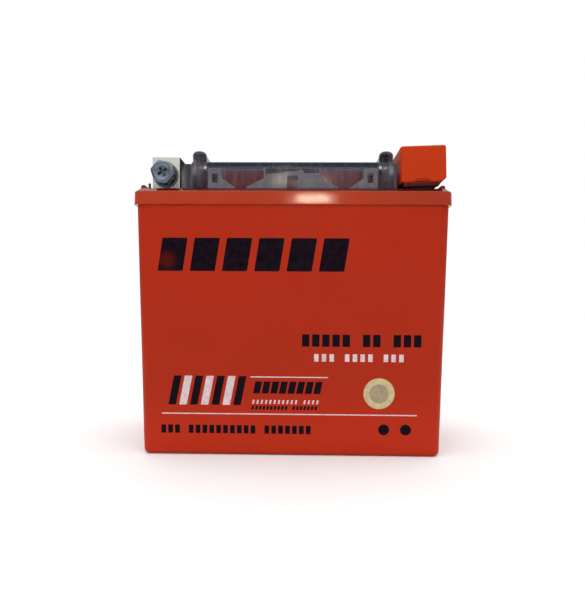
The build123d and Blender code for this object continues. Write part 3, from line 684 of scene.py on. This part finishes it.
class BATTERY_OT_bolt(Maker, bpy.types.Operator):
    """Hexagon bolt with a cross recess and a wound thread"""
    bl_idname = "battery.bolt"
    bl_label = "Terminal Bolt"

    across_flats: length("Across flats", "Size of the hexagon", 10.0 * MM)
    head_height: length("Head height", "Height of the head", 5.3 * MM)
    shank_length: length("Shank length", "Length under the head", 10.0 * MM)
    crest: length("Crest radius", "Outer radius of the thread", 3.0 * MM)
    root: length("Root radius", "Inner radius of the thread", 2.42 * MM)
    turned_by: angle("Turned by", "How far the head's flats are turned", radians(12))

    def make(self, colours, sizes, stage):
        low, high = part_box("negative_bolt")
        middle = Vector(((low.x + high.x) / 2, 0, BOLT_AXIS_Z))
        seat = low.y + self.head_height
        steel = steel_finish("bolt_steel", tuple(colours.bolt), 0.30, side_shade=0.9)
        bm = bmesh.new()
        self.head(bm)
        self.core(bm)
        placed = Matrix.Translation((middle.x, seat, middle.z)) @ OUTWARD
        bmesh.ops.transform(bm, matrix=placed, verts=bm.verts)
        piece = piece_from(bm, "hexagon_bolt", steel, "bolt", ["negative_bolt"])
        for lean in (pi / 4, 3 * pi / 4):
            cutter = self.wing(lean)
            bmesh.ops.transform(cutter, matrix=placed, verts=cutter.verts)
            cut_with(piece, cutter)
        soften(piece, 0.12 * MM, limit=radians(38))
        thread = bmesh.new()
        self.thread(thread, sizes)
        bmesh.ops.transform(thread, matrix=placed, verts=thread.verts)
        thread_piece = piece_from(thread, "bolt_thread", steel, "bolt")
        thread_piece.data.shade_smooth()
        thread_piece.data.set_sharp_from_angle(angle=radians(40))

    def head(self, bm):
        """A turned blank whose side is pressed in to the flats of a hexagon."""
        flat = self.across_flats / 2
        corner = flat / cos(pi / 6)
        top = self.head_height
        crown = flat * 0.94
        outline = [(0, 0), (flat * 0.9, 0), (corner, 0.12 * MM)]
        steps = 7
        for step in range(steps + 1):
            radius = corner + (crown - corner) * step / steps
            outline.append((radius, top - (radius - crown) * tan(radians(30))))
        outline += [(flat * 0.80, top), (flat * 0.72, top - 0.12 * MM), (flat * 0.64, top - 0.5 * MM),
                    (flat * 0.55, top - 0.62 * MM), (0, top - 0.66 * MM)]
        turn(bm, open_loop(bm, outline), 96)
        for vert in bm.verts:
            radius = hypot(vert.co.x, vert.co.y)
            bearing = (atan2(vert.co.y, vert.co.x) + self.turned_by) % (pi / 3) - pi / 6
            limit = flat / cos(bearing)
            if radius > limit:
                vert.co.x *= limit / radius
                vert.co.y *= limit / radius

    def core(self, bm):
        made = bmesh.new()
        end = -self.shank_length
        turn(made, open_loop(made, [(0, end), (self.root - 0.4 * MM, end), (self.root, end + 0.4 * MM),
                                    (self.root, -0.8 * MM), (self.crest - 0.02 * MM, -0.5 * MM),
                                    (self.crest - 0.02 * MM, 0.05 * MM), (0, 0.05 * MM)]), 48)
        spare = bpy.data.meshes.new("core")
        made.to_mesh(spare)
        made.free()
        bm.from_mesh(spare)
        bpy.data.meshes.remove(spare)

    def wing(self, lean):
        """One tapered bar of the cross recess."""
        bm = bmesh.new()
        verts = bmesh.ops.create_cube(bm, size=1.0)["verts"]
        deep, wide, long = 2.6 * MM, 1.3 * MM, 6.2 * MM
        bmesh.ops.scale(bm, vec=(long, wide, deep), verts=verts)
        bottom = [v for v in verts if v.co.z < 0]
        bmesh.ops.scale(bm, vec=(0.45, 0.6, 1), verts=bottom)
        turned = Matrix.Rotation(lean - self.turned_by, 3, "Z")
        bmesh.ops.rotate(bm, cent=(0, 0, 0), matrix=turned, verts=verts)
        bmesh.ops.translate(bm, vec=(0, 0, self.head_height - deep / 2 + 0.35 * MM), verts=verts)
        return bm

    def thread(self, bm, sizes):
        pitch = sizes.thread_pitch
        start = -self.shank_length + 0.75 * MM
        sink = 0.05 * MM
        inner, outer = self.root - sink, self.crest
        outline = close_loop(bm, [(inner, start - pitch * 0.42), (outer, start - pitch * 0.06),
                                  (outer, start + pitch * 0.06), (inner, start + pitch * 0.42)])
        turns = (self.shank_length - 1.9 * MM) / pitch
        wind(bm, outline, pitch, turns, sizes.thread_steps)


class BATTERY_OT_washers(Maker, bpy.types.Operator):
    """Split spring washer and flat washer under the bolt's head"""
    bl_idname = "battery.washers"
    bl_label = "Washers"

    def make(self, colours, sizes, stage):
        steel = steel_finish("washer_steel", scaled(colours.bolt, 0.6), 0.33, side_shade=0.9)
        self.flat(steel)
        self.spring(steel, sizes)

    def flat(self, steel):
        low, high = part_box("flat_washer")
        outer, thick = (high.x - low.x) / 2, high.y - low.y
        inner, corner = 3.2 * MM, 0.18 * MM
        bm = bmesh.new()
        turn(bm, close_loop(bm, [(inner, 0), (outer - 0.05 * MM, 0), (outer, 0.05 * MM),
                                 (outer, thick - corner), (outer - corner * 0.3, thick - corner * 0.3),
                                 (outer - corner, thick),
                                 (inner + corner, thick), (inner, thick - corner * 0.6)]), 64)
        place_at = Matrix.Translation(((low.x + high.x) / 2, high.y, BOLT_AXIS_Z)) @ OUTWARD
        bmesh.ops.transform(bm, matrix=place_at, verts=bm.verts)
        piece = piece_from(bm, "plain_washer", steel, "bolt_washers", ["flat_washer"])
        piece.data.shade_smooth()
        piece.data.set_sharp_from_angle(angle=radians(32))

    def spring(self, steel, sizes):
        low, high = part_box("spring_washer")
        outer, depth = (high.x - low.x) / 2, high.y - low.y
        inner, thick = 3.1 * MM, depth - sizes.washer_rise
        bm = bmesh.new()
        outline = close_loop(bm, [(inner, 0), (outer, 0), (outer, thick), (inner, thick)])
        wind(bm, outline, sizes.washer_rise, 350 / 360, 72)
        cut_at = Matrix.Rotation(radians(-38), 3, "Z")
        bmesh.ops.rotate(bm, cent=(0, 0, 0), matrix=cut_at, verts=bm.verts)
        place_at = Matrix.Translation(((low.x + high.x) / 2, high.y, BOLT_AXIS_Z)) @ OUTWARD
        bmesh.ops.transform(bm, matrix=place_at, verts=bm.verts)
        piece = piece_from(bm, "split_washer", steel, "bolt_washers", ["spring_washer"])
        soften(piece, 0.12 * MM, limit=radians(50))


class BATTERY_OT_hood(Maker, bpy.types.Operator):
    """Soft orange hood over the positive terminal"""
    bl_idname = "battery.hood"
    bl_label = "Hood"

    def make(self, colours, sizes, stage):
        softened_copy("positive_cap", "terminal_hood", hood_finish(colours), "hood",
                      sizes.edge * 1.5)


class BATTERY_OT_printing(Maker, bpy.types.Operator):
    """Plain printed blocks, stripes, rules, dots and a round sticker on the front of the case"""
    bl_idname = "battery.printing"
    bl_label = "Printing"

    def make(self, colours, sizes, stage):
        front = CaseFront(sizes.case_draft)
        black = black_ink_finish(colours, front.at(-59 * MM, 93.5 * MM).translation)
        self.headline(front, black, sizes.ink)
        self.dark_rows(front, black, sizes.ink)
        self.pale_rows(front, ink_finish("print_white", colours.pale_ink), sizes.ink)
        self.sticker(front, colours, sizes.ink)

    def headline(self, front, black, ink):
        """One row of heavy leaning blocks."""
        bm = bmesh.new()
        left, right, low, high = -62.2 * MM, 25.9 * MM, 88.4 * MM, 103.9 * MM
        gap = 3.4 * MM
        pitch = (right - left + gap) / HEADLINE_BLOCKS
        for number in range(HEADLINE_BLOCKS):
            x = left + number * pitch
            ink_slab(bm, front, (x, x + pitch - gap, low, high), ink, 0.16, 0.5 * MM)
        piece_from(bm, "headline_blocks", black, "battery")

    def dark_rows(self, front, black, ink):
        bm = bmesh.new()
        ink_row(bm, front, (5.1 * MM, 62.9 * MM, 52.9 * MM, 58.7 * MM), ink, (5, 2, 3), fill=0.72)
        ink_row(bm, front, (-17.6 * MM, 15.4 * MM, 30.2 * MM, 36.0 * MM), ink, (8,), 0.2, 0.78)
        ink_row(bm, front, (-18.8 * MM, 13.2 * MM, 22.4 * MM, 24.2 * MM), ink, (10, 7), 0.2, 0.62)
        ink_row(bm, front, (-62.4 * MM, 10.6 * MM, 10.7 * MM, 14.7 * MM), ink, (3, 10, 7), fill=0.68)
        self.stripes(bm, front, ink, range(0, STRIPES, 2))
        for x in (44.5 * MM, 54.9 * MM):
            ink_disc(bm, front, x, 13.2 * MM, 2.6 * MM, ink)
        piece_from(bm, "dark_rows", black, "battery")

    def stripes(self, bm, front, ink, numbers):
        """Some of a row of equal leaning stripes."""
        for number in numbers:
            wide, pitch = STRIPE
            x = -57.5 * MM + number * pitch
            ink_slab(bm, front, (x, x + wide, 24.5 * MM, 38.5 * MM), ink, 0.2, 0.3 * MM)

    def pale_rows(self, front, pale, ink):
        bm = bmesh.new()
        ink_row(bm, front, (10.9 * MM, 54.9 * MM, 45.8 * MM, 49.4 * MM), ink, (3, 4, 3), fill=0.58)
        ink_row(bm, front, (-18.4 * MM, 14.3 * MM, 25.2 * MM, 27.1 * MM), ink, (11, 4), 0.2, 0.42)
        ink_slab(bm, front, (-62.1 * MM, 60.1 * MM, 19.95 * MM, 20.5 * MM), ink, corner=0.05 * MM)
        ink_slab(bm, front, (-19.4 * MM, 17.6 * MM, 37.9 * MM, 38.4 * MM), ink, corner=0.05 * MM)
        self.stripes(bm, front, ink, range(1, STRIPES, 2))
        piece_from(bm, "pale_rows", pale, "battery")

    def sticker(self, front, colours, ink):
        """A plain round sticker: a disc in one broad ring."""
        x, height = 42.0 * MM, 30.6 * MM
        bm = bmesh.new()
        ink_disc(bm, front, x, height, 7.4 * MM, ink)
        ink_disc(bm, front, x, height, 4.6 * MM, ink, lift=0.5 * ink, material=1)
        inks = [ink_finish("sticker_ring", colours.ring, 0.22, 0.5),
                ink_finish("sticker_middle", colours.middle, 0.2, 0.5)]
        piece_from(bm, "round_sticker", inks, "battery")


class BATTERY_OT_inside(Maker, bpy.types.Operator):
    """Plates, separators and links inside the cells"""
    bl_idname = "battery.inside"
    bl_label = "Plates and Links"

    def make(self, colours, sizes, stage):
        positive = paste_finish("positive_paste", (0.035, 0.016, 0.010), (0.085, 0.040, 0.022))
        negative = paste_finish("negative_paste", (0.14, 0.145, 0.15), (0.25, 0.255, 0.26))
        mat = mat_finish()
        lead = lead_finish()
        for cell in range(1, CELLS + 1):
            repaint(f"positive_plates_{cell}", positive)
            repaint(f"negative_plates_{cell}", negative)
            repaint(f"separators_{cell}", mat)
        for boundary in range(1, CELLS):
            repaint(f"intercell_link_{boundary}", lead)


class BATTERY_OT_stage(Maker, bpy.types.Operator):
    """Camera, soft lights and a plain pale floor"""
    bl_idname = "battery.stage"
    bl_label = "Stage"

    def make(self, colours, sizes, stage):
        self.camera(stage)
        self.floor(colours, stage)
        self.lights(stage)
        self.world(stage)
        bpy.context.scene.view_settings.view_transform = "Standard"

    def camera(self, stage):
        data = bpy.data.cameras.new("camera")
        data.lens = stage.lens
        data.shift_y = stage.shift
        data.clip_start = 0.01
        camera = bpy.data.objects.new("camera", data)
        turned = (Matrix.Rotation(stage.yaw, 4, "Z") @ Matrix.Rotation(pi / 2 - stage.pitch, 4, "X")
                  @ Matrix.Rotation(stage.roll, 4, "Z"))
        camera.matrix_world = Matrix.Translation(stage.eye) @ turned
        bpy.context.scene.collection.objects.link(camera)
        bpy.context.scene.camera = camera

    def floor(self, colours, stage):
        bm = bmesh.new()
        bmesh.ops.create_circle(bm, cap_ends=True, radius=stage.floor_radius, segments=96)
        mesh = bpy.data.meshes.new("floor")
        bm.to_mesh(mesh)
        bm.free()
        mesh.materials.append(floor_finish(colours))
        floor = bpy.data.objects.new("floor", mesh)
        bpy.context.scene.collection.objects.link(floor)

    def lights(self, stage):
        aim = (0, 0, 0.07)
        self.light("key", stage.key, (-0.55, -1.05, 1.05), (0.9, 0.7), aim)
        self.light("fill", stage.fill, (0.75, -1.1, 0.95), (0.8, 0.7), aim)
        self.light("top", stage.top, (0.0, 0.15, 1.25), (1.1, 1.1), aim)
        self.light("rear", stage.rear, (-0.3, 1.25, 0.75), (0.9, 0.7), aim)
        self.light("glint", stage.glint, (0.0195, -0.52, 0.2535), (0.044, 0.016), (0.0075, -0.0435, 0.1223),
                   (1.0, 0.82, 0.62))

    def light(self, name, watts, spot, size, aim, tint=(1.0, 1.0, 1.0)):
        data = bpy.data.lights.new(name, "AREA")
        data.shape = "RECTANGLE"
        data.size, data.size_y = size
        data.energy = watts
        data.color = tint
        lamp = bpy.data.objects.new(name, data)
        lamp.matrix_world = (Matrix.Translation(spot)
                             @ (Vector(aim) - Vector(spot)).to_track_quat("-Z", "Y").to_matrix().to_4x4())
        bpy.context.scene.collection.objects.link(lamp)

    def world(self, stage):
        world = bpy.data.worlds.new("surround")
        bpy.context.scene.world = world
        world.use_nodes = True
        nodes, links = world.node_tree.nodes, world.node_tree.links
        lit = nodes["Background"]
        lit.inputs["Color"].default_value = (1.0, 1.0, 1.0, 1.0)
        split = nodes.new("ShaderNodeSeparateXYZ")
        rise = nodes.new("ShaderNodeMapRange")
        rise.inputs["To Min"].default_value = stage.horizon
        rise.inputs["To Max"].default_value = stage.zenith
        links.new(nodes.new("ShaderNodeTexCoord").outputs["Generated"], split.inputs[0])
        links.new(split.outputs["Z"], rise.inputs["Value"])
        links.new(rise.outputs["Result"], lit.inputs["Strength"])
        seen = nodes.new("ShaderNodeBackground")
        seen.inputs["Color"].default_value = (1.0, 1.0, 1.0, 1.0)
        path = nodes.new("ShaderNodeLightPath")
        mix = nodes.new("ShaderNodeMixShader")
        links.new(path.outputs["Is Camera Ray"], mix.inputs[0])
        links.new(lit.outputs[0], mix.inputs[1])
        links.new(seen.outputs[0], mix.inputs[2])
        links.new(mix.outputs[0], nodes["World Output"].inputs["Surface"])


MAKERS = (BATTERY_OT_shell, BATTERY_OT_cover, BATTERY_OT_under_cover, BATTERY_OT_terminals, BATTERY_OT_bolt,
          BATTERY_OT_washers, BATTERY_OT_hood, BATTERY_OT_printing, BATTERY_OT_inside, BATTERY_OT_stage)


class BATTERY_PT_panel(bpy.types.Panel):
    """Lists the operators and their settings"""
    bl_idname = "BATTERY_PT_panel"
    bl_label = "Motorcycle Battery"
    bl_space_type = "VIEW_3D"
    bl_region_type = "UI"
    bl_category = "Battery"

    def draw(self, context):
        for maker in MAKERS:
            self.layout.operator(maker.bl_idname)
        scene = context.scene
        for group in (scene.battery_colours, scene.battery_sizes, scene.battery_stage):
            box = self.layout.box()
            for name in group.__annotations__:
                box.prop(group, name)


CLASSES = (BatteryColours, BatterySizes, BatteryStage, *MAKERS, BATTERY_PT_panel)
GROUPS = {"battery_colours": BatteryColours, "battery_sizes": BatterySizes, "battery_stage": BatteryStage}


def register():
    for cls in CLASSES:
        bpy.utils.register_class(cls)
    for name, group in GROUPS.items():
        setattr(bpy.types.Scene, name, PointerProperty(type=group))


def unregister():
    for name in GROUPS:
        delattr(bpy.types.Scene, name)
    for cls in reversed(CLASSES):
        bpy.utils.unregister_class(cls)


def main():
    register()
    for maker in MAKERS:
        group, name = maker.bl_idname.split(".")
        getattr(getattr(bpy.ops, group), name)()


if __name__ == "__main__":
    main()
